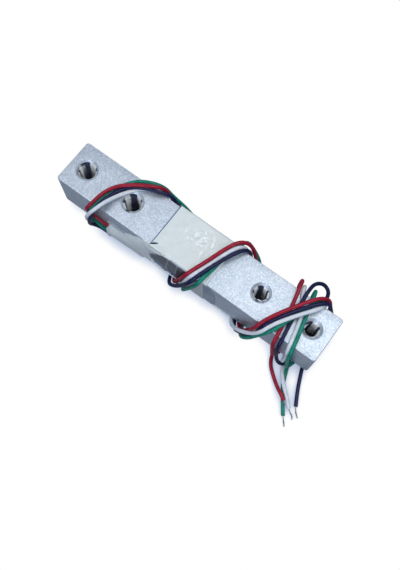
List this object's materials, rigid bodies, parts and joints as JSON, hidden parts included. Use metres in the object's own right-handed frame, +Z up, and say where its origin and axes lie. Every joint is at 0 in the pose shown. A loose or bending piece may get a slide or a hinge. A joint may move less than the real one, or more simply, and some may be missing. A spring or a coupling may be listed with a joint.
{
  "type": "weighing load cell",
  "caption": "Straight bar weighing load cell with a double-bore flexure, sealed strain gauges, threaded mounting holes and loose colour-coded signal leads with bare ends.",
  "frame": {"origin": "centre of the bottom of the bar with its silicone coating, without the leads, on the surface that it lies on", "axes": "+X along the bar from the fixed end to the load end, +Y away from the side with the coat's flange, +Z up through the mounting holes"},
  "size_m": [0.0857, 0.0338, 0.0194],
  "materials": {
    "beam_metal": "fine matt",
    "clear_film": "clear gloss",
    "cover_silicone": "translucent satin",
    "coat_silicone": "translucent satin",
    "carrier_film": "satin",
    "terminal_board": "satin",
    "gauge_foil": "satin",
    "solder": "dull",
    "fine_wire": "enamelled",
    "red_insulation": "satin",
    "green_insulation": "satin",
    "black_insulation": "satin",
    "white_insulation": "satin",
    "tinned_wire": "dull tinned"
  },
  "bodies": {
    "root": {"beam": "beam_metal", "film_wrap": "clear_film", "silicone_coat_top": "cover_silicone", "silicone_coat_bottom": "coat_silicone", "gauge_carrier_top_left": "carrier_film", "gauge_grid_top_left": "gauge_foil", "gauge_carrier_top_right": "carrier_film", "gauge_grid_top_right": "gauge_foil", "gauge_carrier_bottom_left": "carrier_film", "gauge_grid_bottom_left": "gauge_foil", "gauge_carrier_bottom_right": "carrier_film", "gauge_grid_bottom_right": "gauge_foil", "terminal_strip_top": "terminal_board", "terminal_strip_bottom": "terminal_board", "terminal_strip_leads": "terminal_board", "solder_joints_top": "solder", "solder_joints_bottom": "solder", "solder_joints_leads": "solder", "gauge_jumper_wires_top": "fine_wire", "gauge_jumper_wires_bottom": "fine_wire", "bridge_link_wires": "fine_wire", "lead_red": "red_insulation", "lead_green": "green_insulation", "lead_black": "black_insulation", "lead_white": "white_insulation", "bare_end_red": "tinned_wire", "bare_end_green": "tinned_wire", "bare_end_black": "tinned_wire", "bare_end_white": "tinned_wire"}
  },
  "joints": []
}
